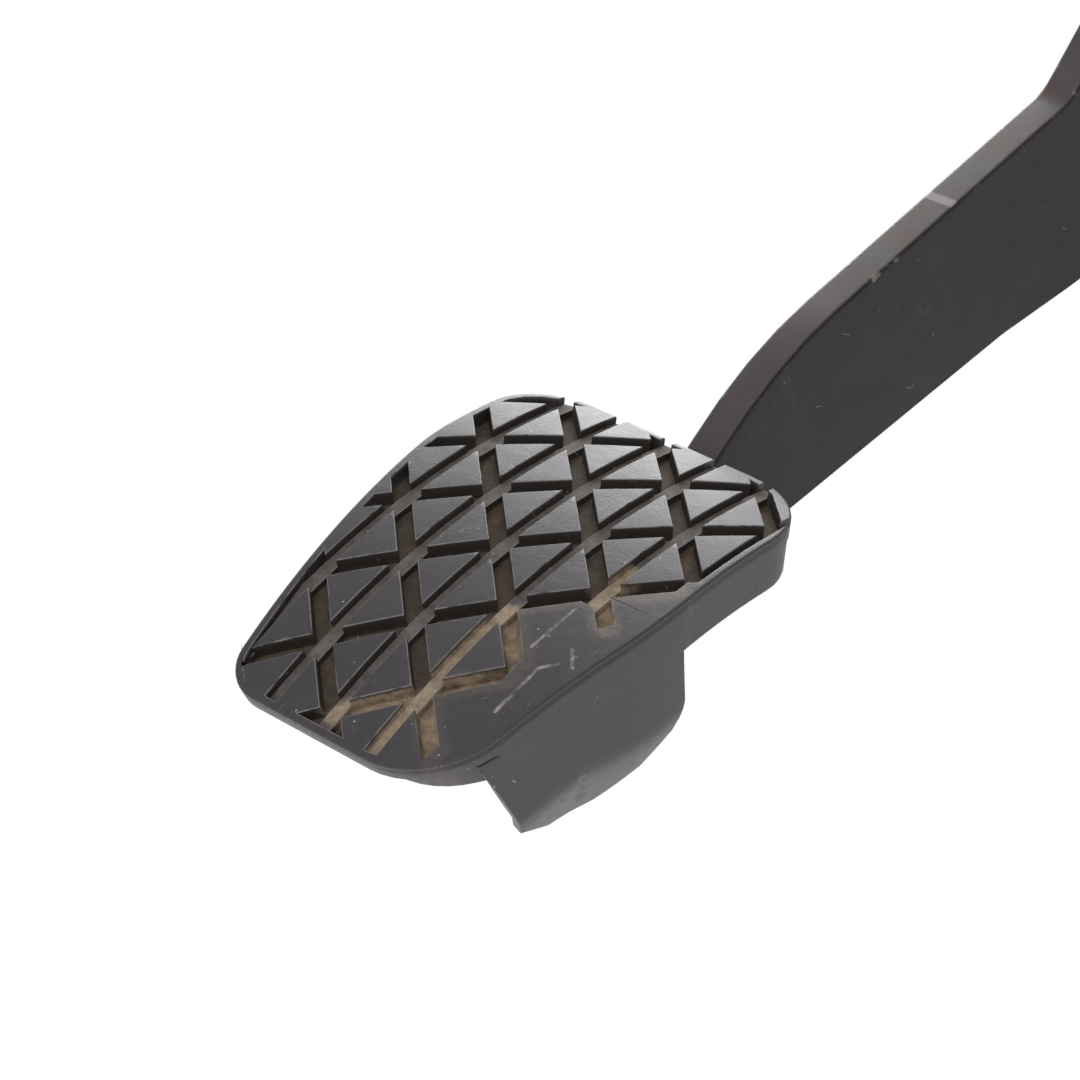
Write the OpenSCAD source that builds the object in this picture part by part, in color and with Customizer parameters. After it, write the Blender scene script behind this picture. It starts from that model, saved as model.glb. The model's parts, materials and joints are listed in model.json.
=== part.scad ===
// Suspended brake pedal assembly: a ribbed rubber pad on a flat steel arm that
// swings on a bushed pivot between the cheeks of a plain bracket.
// Millimetres. +X is the driver's right, +Y points at the bulkhead, +Z is up.
// The origin is the centre of the four fixing holes, on the bracket's mounting face.

/* [Pad outline] */
// Width of the pad across its top
pad_top_w = 55.6; // [50:0.2:64]
// Width of the pad across its bottom, between the unrounded corners
pad_bottom_w = 39.4; // [36:0.2:46]
// Height of the pad above the middle of the tread pattern
pad_above = 20.6; // [19:0.2:25]
// Height of the pad below the middle of the tread pattern
pad_below = 56.6; // [55:0.2:61]
// Sideways shift of the pad's narrow bottom
bottom_shift = -0.2; // [-3:0.2:3]
// Radius that the tread face is bent to
crown_r = 125; // [110:1:160]
// Radius of the top corner on the driver's left
left_top_r = 11; // [6:0.5:14]
// Radius of the top corner on the driver's right
right_top_r = 14; // [6:0.5:16]
// Radius of the bottom corner on the driver's left
left_corner_r = 7; // [4:0.5:12]
// Radius of the bottom corner on the driver's right
right_corner_r = 15; // [6:0.5:16]

/* [Pad section] */
// Rubber between the tread face and the steel plate
face_t = 4.5; // [3.8:0.1:6]
// Depth of the skirt below the tread face
skirt_depth = 9; // [8.6:0.1:12]
// Distance that the skirt's bottom end lies back under the bead
skirt_tuck = 2.5; // [0.5:0.1:3]
// Thickness of the skirt wall
wall_t = 3; // [2:0.1:4]
// Width of the lip that hooks under the plate
lip_w = 2.5; // [1.5:0.1:4]
// Overhang of the bead round the top of the skirt
bead_out = 0.5; // [0.3:0.1:1]
// Depth of that bead below the tread face
bead_depth = 3; // [2:0.1:4]

/* [Tread] */
// Distance between the upright grooves
groove_pitch = 9.5; // [8:0.1:11]
// Distance between rows of the diagonal lattice
groove_row = 9.1; // [8:0.1:11]
// Sideways shift of the lattice from the arm's middle plane
groove_shift = -1.9; // [-4:0.1:4]
// Width of the diagonal grooves
diagonal_w = 2.7; // [1.5:0.1:3.2]
// Depth of the diagonal grooves
diagonal_depth = 2.5; // [1.5:0.1:2.8]
// Width of the upright grooves
upright_w = 2.2; // [1:0.1:2.5]
// Depth of the upright grooves
upright_depth = 1.3; // [0.8:0.1:1.6]
// Plain rim left round the tread
rim_w = 0.8; // [0.5:0.1:3]

/* [Side flap] */
// Thickness of the flap that hangs from the skirt
flap_t = 2; // [1.5:0.1:2.8]
// Depth of the flap's fold below the tread plane at its upper end
flap_depth = 20.2; // [17:0.1:23]
// Distance from the tread's middle down to the flap's upper end
flap_from = 12; // [9:0.5:15]
// Distance from the tread's middle down to the flap's lower end
flap_to = 46.8; // [43:0.1:49]
// Length of the flap's turned-in edge
flap_turn = 10.2; // [6:0.1:12]
// Angle that the edge is turned in by
flap_angle = 24; // [10:1:40]

/* [Plate and arm] */
// Thickness of the steel plate inside the pad
plate_t = 2.5; // [2:0.1:3]
// Clearance of the plate in the rubber
plate_gap = 0.1; // [0.05:0.05:0.3]
// Thickness of the flat arm
arm_t = 6; // [5:0.5:8]
// Depth of the arm where it leaves the pad, front to back
arm_depth = 30.6; // [27:0.2:34]
// Leg of the weld beads between arm and plate
weld_leg = 3; // [2:0.5:4]
// Backward lean of the tread face at rest
tread_lean = 38; // [30:1:42]
// Distance from the tread's middle up to the pivot, along the tread
pivot_above = 256.5; // [240:0.5:280]
// Distance of the pivot out from the tread plane
pivot_out = 30.5; // [28:0.5:33]
// Radius of the arm's head round the pivot
head_r = 23; // [21:0.5:26]

/* [Pivot] */
// Outside radius of the tube welded through the arm
tube_r = 12.5; // [11.5:0.1:14]
// Inside radius of that tube
tube_bore_r = 10; // [9.5:0.1:10.8]
// Outside radius of the sleeve that the bushes turn on
sleeve_r = 8; // [7.5:0.1:8.6]
// Running clearance between sleeve and bushes
bush_gap = 0.05; // [0.02:0.01:0.1]
// Length of each bush inside the tube
bush_length = 14; // [10:0.5:18]
// Thickness of each bush flange
bush_flange_t = 1.6; // [1.2:0.1:2.5]
// Running clearance at each end of the pivot
end_gap = 0.3; // [0.2:0.05:0.5]
// Radius of the pivot bolt
bolt_r = 5; // [4:0.5:6]
// Clearance round the bolt
bolt_gap = 0.2; // [0.1:0.05:0.4]

/* [Bracket] */
// Width between the two cheeks
cheek_gap = 50; // [44:1:56]
// Thickness of the cheeks
cheek_t = 3; // [2:0.5:4]
// Thickness of the base plate
base_t = 3; // [2:0.5:5]
// Height of the base plate below the fixing centre
base_below = 40; // [36:1:46]
// Height of the base plate above the fixing centre
base_above = 58; // [46:1:70]
// Distance between the fixing holes across the car
hole_pitch_x = 70; // [69:0.5:72]
// Distance between the fixing holes up the bulkhead
hole_pitch_z = 56; // [54:0.5:60]
// Distance from the middle of a fixing hole out to the side of the base plate
hole_edge = 10; // [8:0.5:14]
// Radius of the fixing holes
hole_r = 4.5; // [4:0.1:5]
// Radius of the opening for the pushrod
opening_r = 21; // [16:0.5:22]
// Distance from the mounting face back to the pivot
pivot_back = 80; // [76:1:88]
// Height of the pivot above the fixing centre
pivot_up = 62.5; // [58:0.5:66]

/* [Pushrod bush] */
// Distance from the pivot down the arm to the pushrod hole
pushrod_down = 65; // [58:0.5:70]
// Distance of the pushrod hole behind the arm's centre line
pushrod_behind = 9; // [6:0.5:11]
// Radius of the bore for the pushrod's clevis pin
pushrod_r = 4.1; // [3.1:0.1:5.1]
// Wall of the pushrod bush
pushrod_bush_t = 1.5; // [1:0.1:2]
// Distance that the bush stands out on each side of the arm
pushrod_bush_out = 2; // [1:0.5:3]

/* [Stop and spring] */
// Distance from the pivot down the arm to the stop
stop_down = 24; // [22:0.5:28]
// Thickness of the rubber cushion that the arm rests on
cushion_t = 8; // [6:0.5:9]
// Radius of that cushion
cushion_r = 8; // [6:0.5:9]
// Thickness of the stop bar
stop_bar_t = 4; // [3:0.5:5]
// Height of the stop bar
stop_bar_h = 20; // [18:0.5:22]
// Distance from the pivot down the arm to the spring's hole
ear_down = 80; // [74:0.5:86]
// Distance of the spring's hole in front of the arm's centre line
ear_front = 26; // [24:0.5:27]
// Length of straight wire between the spring's coil and its hook in the arm
ear_leg = 14; // [13:0.5:18]
// Distance of the spring rod in front of the pivot
rod_front = 66; // [62:0.5:68]
// Height of the spring rod above the pivot
rod_up = 24; // [20:0.5:26]
// Radius of the spring rod
rod_r = 4; // [3:0.5:5]
// Radius of the spring's wire
wire_r = 1.1; // [0.8:0.1:1.4]
// Mean radius of the spring's coil
coil_r = 6.5; // [5.5:0.1:7]
// Number of turns in the coil
coil_turns = 16; // [10:1:18]

/* [Hidden] */
$fn = 48;

eps = 0.01;
reach = 60;
arc_step = 7.5;
plate_under = face_t + plate_t;
flange_r = 13;
base_w = hole_pitch_x + 2 * hole_edge;
washer_t = 2;
washer_r = 10;
nut_t = 8;
bolt_head_t = 6.5;
hex_r = 9.8;
bolt_end = 3;
bend_r = 3;
spring_hole_r = 3.2;
seat_gap = 0.3;
arm_rise = 12;
arm_slope = 0.208;
arm_taper = 0.087;
foot_bottom = -42;
weld_short = 2.4;
flap_fall = 0.177;
flap_slant = 4.8;
ramp_from = 119.5;
back_bend = 128;
ear_out = 31.5;
cheek_edge = 24;
cheek_drop = 34;
rod_edge = 12.5;
fall = tread_lean - arm_rise;
hook_rise = 1.8;
wire_sides = 8;
turn_steps = 12;

// Points and outlines

function flat(p) = [p[0], p[1]];
function unit(v) = v / norm(v);
function turned(v, angle) = [v.x * cos(angle) - v.y * sin(angle), v.x * sin(angle) + v.y * cos(angle)];
function half_turn(angle) = angle > 180 ? angle - 360 : angle < -180 ? angle + 360 : angle;

// Arc that rounds the corner c between its neighbours p and n
function corner_arc(p, c, n, r) =
    let (
        a = unit(p - c),
        b = unit(n - c),
        half = acos(a * b) / 2,
        centre = c + unit(a + b) * r / sin(half),
        from = c + a * r / tan(half) - centre,
        to = c + b * r / tan(half) - centre,
        start = atan2(from.y, from.x),
        sweep = half_turn(atan2(to.y, to.x) - start),
        steps = max(2, ceil(abs(sweep) / arc_step))
    )
    [for (i = [0 : steps]) centre + turned([r, 0], start + sweep * i / steps)];

// Outline through corners given as [x, y, radius]
function rounded(corners) = [
    for (i = [0 : len(corners) - 1])
    let (
        c = corners[i],
        p = corners[(i + len(corners) - 1) % len(corners)],
        n = corners[(i + 1) % len(corners)]
    )
    each (c[2] > 0 ? corner_arc(flat(p), flat(c), flat(n), c[2]) : [flat(c)])
];

// The same corners moved inwards by d, for a convex outline listed anticlockwise
function inset(corners, d) = [
    for (i = [0 : len(corners) - 1])
    let (
        c = flat(corners[i]),
        into = unit(c - flat(corners[(i + len(corners) - 1) % len(corners)])),
        out = unit(flat(corners[(i + 1) % len(corners)]) - c),
        side_a = [-into.y, into.x],
        side_b = [-out.y, out.x],
        moved = c + (side_a + side_b) * d / (1 + side_a * side_b)
    )
    [moved.x, moved.y, max(corners[i][2] - d, 0.5)]
];

pad_corners = [
    [pad_top_w / 2, pad_above, right_top_r],
    [-pad_top_w / 2, pad_above, left_top_r],
    [-pad_top_w / 2, -4, 40],
    [bottom_shift - pad_bottom_w / 2, -pad_below, left_corner_r],
    [bottom_shift + pad_bottom_w / 2, -pad_below, right_corner_r],
    [pad_top_w / 2 - 0.4, -20, 60]
];

// The skirt stands square to the bent face, so its outline is a little shorter
skirt_scale = 1 - (bead_depth + skirt_depth) / 2 / crown_r;
skirt_corners = [
    for (c = pad_corners)
    [c.x, c.y * skirt_scale + (c.y == -pad_below ? skirt_tuck : 0), c[2]]
];

// Edge of the worn strip, in parts of the half width and of the height below the middle
worn_edge = [
    [0.96, -0.15], [0.892, -0.174], [0.914, -0.227], [0.834, -0.386], [0.683, -0.391],
    [0.575, -0.591], [0.615, -0.71], [0.594, -0.915], [0.562, -0.944], [0.428, -0.984]
];

// A point of the arm, from its distance down the arm and in front of its centre line
arm_down = [-cos(arm_rise), -sin(arm_rise)];
arm_front = [-sin(arm_rise), cos(arm_rise)];
function on_arm(down, front) = [pivot_above, pivot_out] + arm_down * down + arm_front * front;
function arm_corner(down, front, r) = concat(on_arm(down, front), [r]);

// The same point seen from the pivot, in the car's upright directions
function from_pivot(down, front) =
    [-down * sin(fall) - front * cos(fall), -down * cos(fall) + front * sin(fall)];

// Front and back edge of the straight arm in the side view, y up the tread from its middle
neck = [39.8, 4.75];
function front_edge(y) = neck.y + (y - neck.x) * arm_slope;
function back_edge(y) = front_edge(y) - arm_depth - (y - neck.x - 8) * arm_taper;

foot_top = pad_above * skirt_scale - wall_t - plate_gap;
arm_corners = [
    [foot_top, -plate_under - 1.5, 0],
    [pad_above + 0.8, -plate_under - 2.4, 3],
    [neck.x, neck.y, 70],
    [ramp_from, front_edge(ramp_from), 10],
    arm_corner(ear_down + 36, ear_out, 10),
    arm_corner(ear_down - 14, ear_out, 10),
    arm_corner(48, head_r, 14),
    arm_corner(-head_r, head_r, head_r - eps),
    arm_corner(-head_r, -head_r, head_r - eps),
    arm_corner(86, -head_r, 30),
    [back_bend, back_edge(back_bend) - 1.8, 60],
    [105, back_edge(105), 20],
    [14, back_edge(14), 26],
    [foot_bottom, -17, 4],
    [foot_bottom - 2, -5, 0],
    [foot_top, -5, 0]
];

cheek_corners = [
    [pivot_back - base_t, -pivot_up - cheek_drop, 0],
    [pivot_back - base_t, base_above - pivot_up - 4, 0],
    [pivot_back - 30, base_above - pivot_up - 4, 10],
    [cheek_edge, cheek_edge, 22],
    [6 - rod_front, rod_up + rod_edge, 12],
    [-rod_front - rod_edge, rod_up + rod_edge, 11],
    [-rod_front - rod_edge, rod_up - rod_edge, 11],
    [12 - rod_front, rod_up - 18, 16],
    [13 - rod_front, -cheek_edge, 9],
    [-30, -cheek_edge - 5, 9],
    [0, -cheek_edge - 2, 30],
    [pivot_back - 46, -pivot_up + 12, 30],
    [pivot_back - cheek_edge, -pivot_up - cheek_drop, 12]
];

// Frames

module in_pad_frame() {
    translate([0, -pivot_back, pivot_up])
        rotate([90 - tread_lean, 0, 0])
            translate([0, -pivot_above, -pivot_out])
                children();
}

module at_pivot() {
    translate([0, -pivot_back, pivot_up])
        children();
}

// Turns a drawing of the side view into a sheet of the thickness t, centred on x
module side_sheet(t, x = 0) {
    translate([x - t / 2, 0, 0])
        rotate([90, 0, 90])
            linear_extrude(t)
                children();
}

module cross_rod(r, length) {
    rotate([0, 90, 0])
        cylinder(r = r, h = length, center = true);
}

// Solid inside the bent surface that lies the given depth below the tread face
module barrel(depth) {
    translate([0, 0, -crown_r])
        cross_rod(crown_r - depth, 2 * reach, $fn = 180);
}

module prism(corners) {
    translate([0, 0, -reach])
        linear_extrude(2 * reach)
            polygon(rounded(corners));
}

// Layer of the bent pad between two depths below the tread face
module layer(corners, top, bottom) {
    difference() {
        intersection() {
            prism(corners);
            barrel(top);
        }
        barrel(bottom);
    }
}

// Rubber pad

module strips(width, angle, pitch) {
    for (k = [-8 : 8])
        translate([groove_shift + k * pitch, 0])
            rotate(angle)
                square([width, 6 * reach], center = true);
}

module groove_cut(depth, open_top) {
    difference() {
        translate([0, 0, -reach / 2])
            linear_extrude(reach)
                intersection() {
                    tread_zone(open_top);
                    children();
                }
        barrel(depth);
    }
}

// Part of the face that still has its pattern, inside the rim and worn smooth on the right
module tread_zone(open_top) {
    difference() {
        union() {
            polygon(rounded(inset(pad_corners, rim_w)));
            if (open_top)
                translate([rim_w - pad_top_w / 2, pad_above - left_top_r])
                    square([pad_top_w - 2 * rim_w, reach]);
        }
        polygon(concat(
            [for (p = worn_edge) [p.x * pad_top_w / 2, p.y * pad_below]],
            [[0, -2 * pad_below], [reach, -2 * pad_below], [reach, worn_edge[0].y * pad_below]]
        ));
    }
}

// Deep diagonal grooves, bridged by the floors of the shallow upright ones
module tread_grooves() {
    slant = atan2(groove_row, groove_pitch);
    groove_cut(diagonal_depth, false) {
        difference() {
            union() {
                strips(diagonal_w, 90 - slant, 2 * groove_pitch);
                strips(diagonal_w, slant - 90, 2 * groove_pitch);
            }
            strips(upright_w, 0, groove_pitch);
        }
    }
    groove_cut(upright_depth, true)
        strips(upright_w, 0, groove_pitch);
}

// Skirt under the bead, open below, with the plate's pocket and the lip
module pad_shell() {
    difference() {
        union() {
            layer(inset(pad_corners, -bead_out), 0, bead_depth);
            layer(skirt_corners, bead_depth / 2, skirt_depth);
        }
        layer(inset(skirt_corners, wall_t), face_t, plate_under + plate_gap);
        layer(inset(skirt_corners, wall_t + lip_w), face_t, 2 * skirt_depth);
        intersection() {
            layer(inset(pad_corners, -wall_t), plate_under, 2 * skirt_depth);
            translate([0, pad_above, 0])
                cube([arm_t + 2 * seat_gap, 4 * wall_t + 4 * lip_w, reach], center = true);
        }
    }
}

// Height of the flap's fold at a place y on the tread
function fold_z(y) = (y + flap_from) * flap_fall - flap_depth;

// Wall of the flap, flush with the skirt, then its turned-in edge
module side_flap() {
    intersection() {
        difference() {
            layer(skirt_corners, bead_depth, 3 * flap_depth);
            prism(inset(skirt_corners, flap_t));
        }
        side_sheet(reach, reach / 2)
            polygon([
                [-flap_to, 0],
                [-flap_from, 0],
                [-flap_from, fold_z(-flap_from)],
                [flap_slant - flap_to, fold_z(flap_slant - flap_to)],
                [-flap_to, -skirt_depth - 7.6]
            ]);
    }
    middle = (flap_from + flap_to - flap_slant) / 2;
    half = (flap_to - flap_slant - flap_from) / 2;
    translate([pad_top_w / 2 - 3.5, -middle, fold_z(-middle)])
        rotate([atan(flap_fall), 0, -10])
            rotate([0, 180 + flap_angle, 0])
                rotate([90, 0, 90])
                    translate([0, 0, -flap_t / 2])
                        linear_extrude(flap_t)
                            polygon([
                                [-half, -1],
                                [half, -1],
                                [half, 0.45 * flap_turn],
                                [0.65 * half, 0.85 * flap_turn],
                                [0.15 * half, flap_turn],
                                [-0.4 * half, 0.92 * flap_turn],
                                [-0.87 * half, 0.47 * flap_turn]
                            ]);
}

module pedal_pad() {
    color("#4a494d")
        in_pad_frame()
            union() {
                difference() {
                    pad_shell();
                    tread_grooves();
                }
                side_flap();
            }
}

// Steel lever

module pedal_plate() {
    color("#5b5a58")
        in_pad_frame()
            layer(inset(skirt_corners, wall_t + plate_gap), face_t + plate_gap / 2, plate_under);
}

module pedal_arm() {
    color("#35322f")
        in_pad_frame()
            difference() {
                side_sheet(arm_t)
                    difference() {
                        polygon(rounded(arm_corners));
                        translate(on_arm(ear_down, ear_front))
                            circle(r = spring_hole_r);
                    }
                translate([0, pivot_above, pivot_out])
                    cross_rod(tube_r, 2 * arm_t);
                translate(concat([0], on_arm(pushrod_down, -pushrod_behind)))
                    cross_rod(pushrod_r + pushrod_bush_t, 2 * arm_t);
                intersection() {
                    difference() {
                        barrel(-reach / 2);
                        barrel(plate_under);
                    }
                    translate([0, pad_above - wall_t - reach, 0])
                        cube([2 * arm_t, 2 * reach, 4 * reach], center = true);
                }
            }
}

// One fillet weld down each side of the arm's foot
module weld_beads() {
    color("#3b3936")
        in_pad_frame()
            for (side = [-1, 1])
                intersection() {
                    translate([0, 0, -crown_r])
                        rotate([0, 90, 0])
                            rotate_extrude($fn = 180)
                                polygon([
                                    [crown_r - plate_under, side * arm_t / 2],
                                    [crown_r - plate_under - weld_leg, side * arm_t / 2],
                                    [crown_r - plate_under, side * (arm_t / 2 + weld_leg)]
                                ]);
                    translate([-reach, foot_bottom + weld_short, -reach])
                        cube([2 * reach, foot_top - foot_bottom - 2 * weld_short, 2 * reach]);
                }
}

// Pivot

tube_length = cheek_gap - 2 * (bush_flange_t + end_gap);

module pivot_tube() {
    color("#444240")
        at_pivot()
            difference() {
                cross_rod(tube_r, tube_length);
                cross_rod(tube_bore_r, tube_length + 2 * eps);
            }
}

module pivot_bush(side) {
    color("#d8d3c4")
        at_pivot()
            rotate([0, side * 90, 0])
                translate([0, 0, tube_length / 2])
                    difference() {
                        union() {
                            translate([0, 0, -bush_length])
                                cylinder(r = tube_bore_r, h = bush_length);
                            cylinder(r = flange_r, h = bush_flange_t);
                        }
                        translate([0, 0, -bush_length - 1])
                            cylinder(r = sleeve_r + bush_gap, h = bush_length + bush_flange_t + 2);
                    }
}

module bush_left() {
    pivot_bush(-1);
}

module bush_right() {
    pivot_bush(1);
}

module spacer_sleeve() {
    color("#8d8f92")
        at_pivot()
            difference() {
                cross_rod(sleeve_r, cheek_gap);
                cross_rod(bolt_r + bolt_gap, cheek_gap + 2 * eps);
            }
}

outer_face = cheek_gap / 2 + cheek_t;

module pivot_bolt() {
    color("#9a9ca0")
        at_pivot()
            rotate([0, 90, 0])
                union() {
                    translate([0, 0, -outer_face - washer_t])
                        cylinder(r = bolt_r, h = 2 * (outer_face + washer_t) + nut_t + bolt_end);
                    translate([0, 0, -outer_face - washer_t - bolt_head_t])
                        cylinder(r = hex_r, h = bolt_head_t, $fn = 6);
                }
}

module washer(side) {
    color("#9a9ca0")
        at_pivot()
            rotate([0, side * 90, 0])
                translate([0, 0, outer_face])
                    difference() {
                        cylinder(r = washer_r, h = washer_t);
                        translate([0, 0, -1])
                            cylinder(r = bolt_r + bolt_gap, h = washer_t + 2);
                    }
}

module head_washer() {
    washer(-1);
}

module nut_washer() {
    washer(1);
}

module pivot_nut() {
    color("#9a9ca0")
        at_pivot()
            rotate([0, 90, 0])
                translate([0, 0, outer_face + washer_t])
                    difference() {
                        union() {
                            cylinder(r = hex_r, h = nut_t - 2, $fn = 6);
                            cylinder(r = hex_r * 0.82, h = nut_t);
                        }
                        translate([0, 0, -1])
                            cylinder(r = bolt_r, h = nut_t + 2);
                    }
}

module pushrod_bush() {
    color("#b08d4f")
        in_pad_frame()
            translate(concat([0], on_arm(pushrod_down, -pushrod_behind)))
                difference() {
                    cross_rod(pushrod_r + pushrod_bush_t, arm_t + 2 * pushrod_bush_out);
                    cross_rod(pushrod_r, arm_t + 2 * pushrod_bush_out + 2);
                }
}

// Bracket

// Plan of a cheek: the wall, the bend and the flange that lies on the base plate
module cheek_plan() {
    inner = cheek_gap / 2;
    flange_y = pivot_back - base_t;
    bend_x = inner + cheek_t + bend_r;
    bend_y = flange_y - cheek_t - bend_r;
    translate([inner, -2 * reach])
        square([cheek_t, bend_y + 2 * reach]);
    translate([bend_x, flange_y - cheek_t])
        square([base_w / 2 - bend_x, cheek_t]);
    intersection() {
        translate([bend_x, bend_y])
            difference() {
                circle(r = bend_r + cheek_t);
                circle(r = bend_r);
            }
        translate([inner, bend_y])
            square([bend_x - inner, bend_r + cheek_t]);
    }
}

module cheek() {
    color("#3c3e40")
        difference() {
            at_pivot()
                difference() {
                    intersection() {
                        translate([0, 0, -2 * reach])
                            linear_extrude(4 * reach)
                                cheek_plan();
                        side_sheet(base_w, base_w / 2)
                            polygon(rounded(cheek_corners));
                    }
                    cross_rod(bolt_r + bolt_gap, 2 * base_w);
                    translate([0, -rod_front, rod_up])
                        cross_rod(rod_r, 2 * base_w);
                }
            fixing_holes();
        }
}

module bracket_left_cheek() {
    mirror([1, 0, 0])
        cheek();
}

module bracket_right_cheek() {
    cheek();
}

module fixing_holes() {
    for (x = [-1, 1])
        for (z = [-1, 1])
            translate([x * hole_pitch_x / 2, 0, z * hole_pitch_z / 2])
                rotate([90, 0, 0])
                    cylinder(r = hole_r, h = 2 * reach, center = true);
}

module bracket_base() {
    corner = 8;
    color("#3c3e40")
        difference() {
            rotate([90, 0, 0])
                linear_extrude(base_t)
                    polygon(rounded([
                        [base_w / 2, -base_below, corner],
                        [base_w / 2, base_above, corner],
                        [-base_w / 2, base_above, corner],
                        [-base_w / 2, -base_below, corner]
                    ]));
            rotate([90, 0, 0])
                cylinder(r = opening_r, h = 4 * base_t, center = true);
            fixing_holes();
        }
}

// Rest stop

// Drawn with +Z pointing at the arm and Y running up the arm
module at_stop() {
    place = from_pivot(stop_down, head_r);
    at_pivot()
        translate([0, place.x, place.y])
            rotate([-90 - fall, 0, 0])
                children();
}

module stop_bar() {
    color("#3c3e40")
        at_stop()
            translate([0, 0, -cushion_t - stop_bar_t])
                difference() {
                    translate([-cheek_gap / 2, -stop_bar_h / 2, 0])
                        cube([cheek_gap, stop_bar_h, stop_bar_t]);
                    translate([0, 0, -1])
                        cylinder(r = cushion_r / 2, h = stop_bar_t + 2);
                }
}

module stop_cushion() {
    tail = 3;
    color("#232324")
        at_stop()
            translate([0, 0, -seat_gap])
                union() {
                    translate([0, 0, seat_gap - cushion_t])
                        cylinder(r = cushion_r, h = cushion_t - seat_gap);
                    translate([0, 0, seat_gap - cushion_t - stop_bar_t])
                        cylinder(r = cushion_r / 2, h = stop_bar_t + eps);
                    translate([0, 0, seat_gap - cushion_t - stop_bar_t - tail])
                        cylinder(r1 = cushion_r / 3, r2 = cushion_r * 0.68, h = tail);
                }
}

// Return spring

module spring_rod() {
    color("#5e6062")
        at_pivot()
            translate([0, -rod_front, rod_up])
                cross_rod(rod_r, cheek_gap + 2 * cheek_t + 2);
}

// The spring runs from the rod down to the hole in the arm's ear
ear = from_pivot(ear_down, ear_front);
spring_run = [-rod_front, rod_up] - ear;
spring_length = norm(spring_run);
spring_tilt = atan2(-spring_run.x, spring_run.y);
ear_end = spring_hole_r - wire_r - seat_gap - 0.2 - (coil_r - sqrt(pow(coil_r, 2) - pow(arm_t / 2, 2)));
rod_end = spring_length + rod_r + seat_gap + wire_r;
ear_loop_z = ear_end + coil_r;
rod_loop_z = rod_end - coil_r;
coil_from = ear_loop_z + ear_leg;
coil_to = rod_loop_z - hook_rise - 3;

// Wire's centre line, from the hook in the ear, round the coil, to the hook over the rod
function helix(turn, part) = [
    coil_r * cos(360 * turn),
    hook_rise + coil_r * sin(360 * turn),
    coil_from + (coil_to - coil_from) * part
];
all_turns = coil_turns + 0.25;
coil_steps = ceil(all_turns * turn_steps);
spring_path = concat(
    [for (g = [-200 : 20 : 0]) [coil_r * cos(g), 0, ear_loop_z + coil_r * sin(g)]],
    [for (g = [30 : 30 : 60]) [coil_r, hook_rise * (1 - cos(g)), ear_loop_z + hook_rise * sin(g)]],
    [for (i = [0 : coil_steps]) helix(all_turns * i / coil_steps, i / coil_steps)],
    [for (g = [30 : 30 : 90]) [-hook_rise * sin(g), hook_rise + coil_r, coil_to + hook_rise * (1 - cos(g))]],
    [for (g = [0 : 20 : 200]) [-hook_rise, coil_r * cos(g), rod_loop_z + coil_r * sin(g)]]
);

// Ring of points round the wire at point i of a path
function wire_ring(path, i, r) =
    let (
        before = path[max(i - 1, 0)],
        after = path[min(i + 1, len(path) - 1)],
        along = unit(after - before),
        side = unit(cross(along, abs(along.z) > 0.9 ? [1, 0, 0] : [0, 0, 1])),
        up = cross(side, along)
    )
    [for (k = [0 : wire_sides - 1]) path[i] + r * (side * cos(360 * k / wire_sides) + up * sin(360 * k / wire_sides))];

module wire(path, r) {
    last = len(path) - 1;
    points = [for (i = [0 : last]) each wire_ring(path, i, r)];
    walls = [
        for (i = [0 : last - 1])
        for (k = [0 : wire_sides - 1])
        let (n = (k + 1) % wire_sides)
        [i * wire_sides + k, i * wire_sides + n, (i + 1) * wire_sides + n, (i + 1) * wire_sides + k]
    ];
    start = [for (k = [wire_sides - 1 : -1 : 0]) k];
    end = [for (k = [0 : wire_sides - 1]) last * wire_sides + k];
    polyhedron(points, concat(walls, [start, end]));
}

module return_spring() {
    color("#a7a9ac")
        at_pivot()
            translate([0, ear.x, ear.y])
                rotate([spring_tilt, 0, 0])
                    wire(spring_path, wire_r);
}

pedal_pad();
pedal_plate();
pedal_arm();
weld_beads();
pivot_tube();
bush_left();
bush_right();
pushrod_bush();
spacer_sleeve();
pivot_bolt();
head_washer();
nut_washer();
pivot_nut();
bracket_left_cheek();
bracket_right_cheek();
bracket_base();
stop_bar();
stop_cushion();
spring_rod();
return_spring();
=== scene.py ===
"""Brake pedal assembly: worn rubber pad, painted arm and bracket, plated pivot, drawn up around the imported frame."""

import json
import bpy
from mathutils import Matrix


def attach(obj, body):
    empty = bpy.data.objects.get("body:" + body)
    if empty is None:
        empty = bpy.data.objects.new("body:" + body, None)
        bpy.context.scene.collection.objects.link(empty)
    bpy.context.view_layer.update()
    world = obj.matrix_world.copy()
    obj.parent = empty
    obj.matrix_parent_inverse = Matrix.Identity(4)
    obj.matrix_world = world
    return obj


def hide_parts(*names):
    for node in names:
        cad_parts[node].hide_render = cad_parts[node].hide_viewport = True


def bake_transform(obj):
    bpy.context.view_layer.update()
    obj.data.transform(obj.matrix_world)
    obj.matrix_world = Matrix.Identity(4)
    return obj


bl_info = {
    "name": "Brake Pedal Finish",
    "version": (1, 0, 0),
    "blender": (4, 5, 0),
    "location": "View3D > Sidebar > Pedal",
    "description": "Models the worn pad and finishes the lever, pivot, bracket and spring of a brake pedal",
    "category": "Object",
}

from math import acos, atan2, cos, pi, radians, sin, tan

import bmesh
import bpy
from bpy.props import FloatProperty, FloatVectorProperty, PointerProperty
from mathutils import Matrix, Vector

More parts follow.
